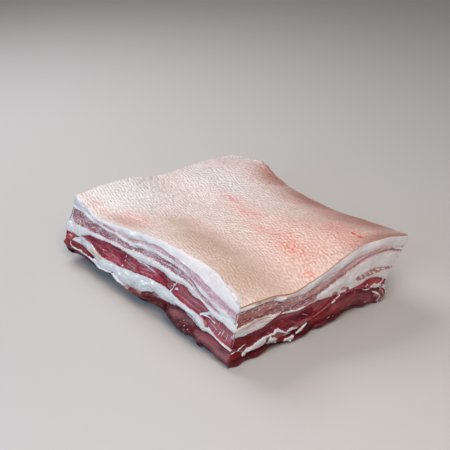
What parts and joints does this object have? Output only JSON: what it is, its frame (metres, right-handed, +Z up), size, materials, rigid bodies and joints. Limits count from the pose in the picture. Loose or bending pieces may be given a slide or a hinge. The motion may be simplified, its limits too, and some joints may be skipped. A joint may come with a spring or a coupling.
{
  "type": "raw pork belly slab",
  "caption": "Uncut square slab of raw boneless pork belly, rind side up, with layers of lean and fat showing on its cut sides.",
  "frame": {"origin": "on the table, under the middle of the slab's box", "axes": "+X along the front cut to the right, +Y from the front cut to the back cut, +Z up from the table to the rind"},
  "size_m": [0.2558, 0.202, 0.0706],
  "materials": {
    "dark_lean": "wet dark red raw lean with fine fibres and a thin shining film",
    "inner_fat": "moist white fat, soft half gloss, faintly pink",
    "red_lean": "wet deep red raw lean with white marbling",
    "marbled_lean": "moist pink lean, thickly marbled with fat",
    "pale_lean": "moist pale pink lean with faint light streaks",
    "rind": "pale scalded pork rind, fine slanting pore grain, satin, with white fat below it"
  },
  "bodies": {
    "root": {"bottom_lean": "dark_lean", "lower_fat": "inner_fat", "main_lean": "red_lean", "middle_fat": "inner_fat", "upper_lean": "marbled_lean", "fat_seam": "inner_fat", "skin_muscle": "pale_lean", "rind_and_back_fat": "rind"}
  },
  "joints": []
}
